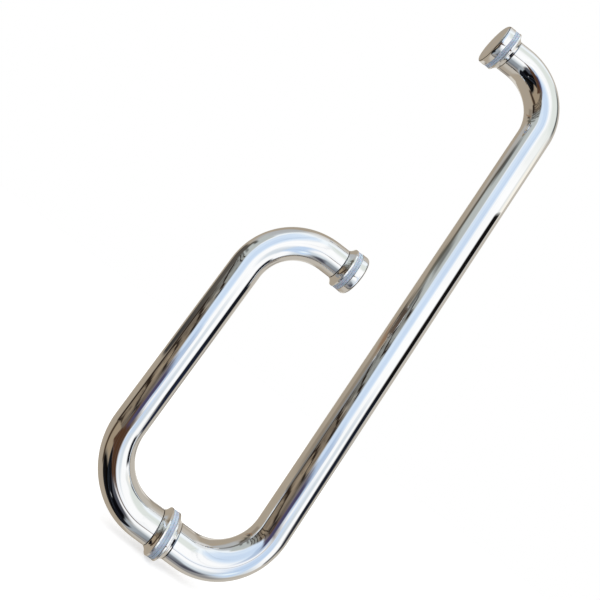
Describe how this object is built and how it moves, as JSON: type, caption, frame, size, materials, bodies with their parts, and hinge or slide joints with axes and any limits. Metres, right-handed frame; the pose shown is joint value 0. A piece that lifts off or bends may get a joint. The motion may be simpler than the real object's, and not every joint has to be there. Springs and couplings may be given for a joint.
{
  "type": "shower door pull handle",
  "caption": "Back-to-back shower door set in polished tube: a short pull handle and a long towel bar that share a clamp, with flared washers, clear gaskets and round end caps.",
  "frame": {"origin": "middle of the shared lower clamp, in the plane of the glass", "axes": "+Z along the bars, up; +Y out of the glass towards the towel bar, so the pull handle is at -Y; +X across the set"},
  "size_m": [0.033, 0.15, 0.483],
  "materials": {
    "mirror_chrome": "mirror polish",
    "turned_steel": "as turned",
    "clear_gasket": "frosted translucent",
    "dark_steel": "black oxide"
  },
  "bodies": {
    "root": {"pull_handle_tube": "mirror_chrome", "towel_bar_tube": "mirror_chrome", "pull_lower_plug": "turned_steel", "pull_upper_plug": "turned_steel", "towel_lower_plug": "turned_steel", "towel_upper_plug": "turned_steel", "pull_lower_washer": "mirror_chrome", "pull_upper_washer": "mirror_chrome", "towel_lower_washer": "mirror_chrome", "towel_upper_washer": "mirror_chrome", "pull_lower_gasket": "clear_gasket", "towel_lower_gasket": "clear_gasket", "pull_upper_gasket": "clear_gasket", "pull_cap_gasket": "clear_gasket", "towel_upper_gasket": "clear_gasket", "towel_cap_gasket": "clear_gasket", "pull_cap": "mirror_chrome", "towel_cap": "mirror_chrome", "shared_stud": "turned_steel", "pull_cap_stud": "turned_steel", "towel_cap_stud": "turned_steel", "towel_grub_screw": "dark_steel"}
  },
  "joints": []
}
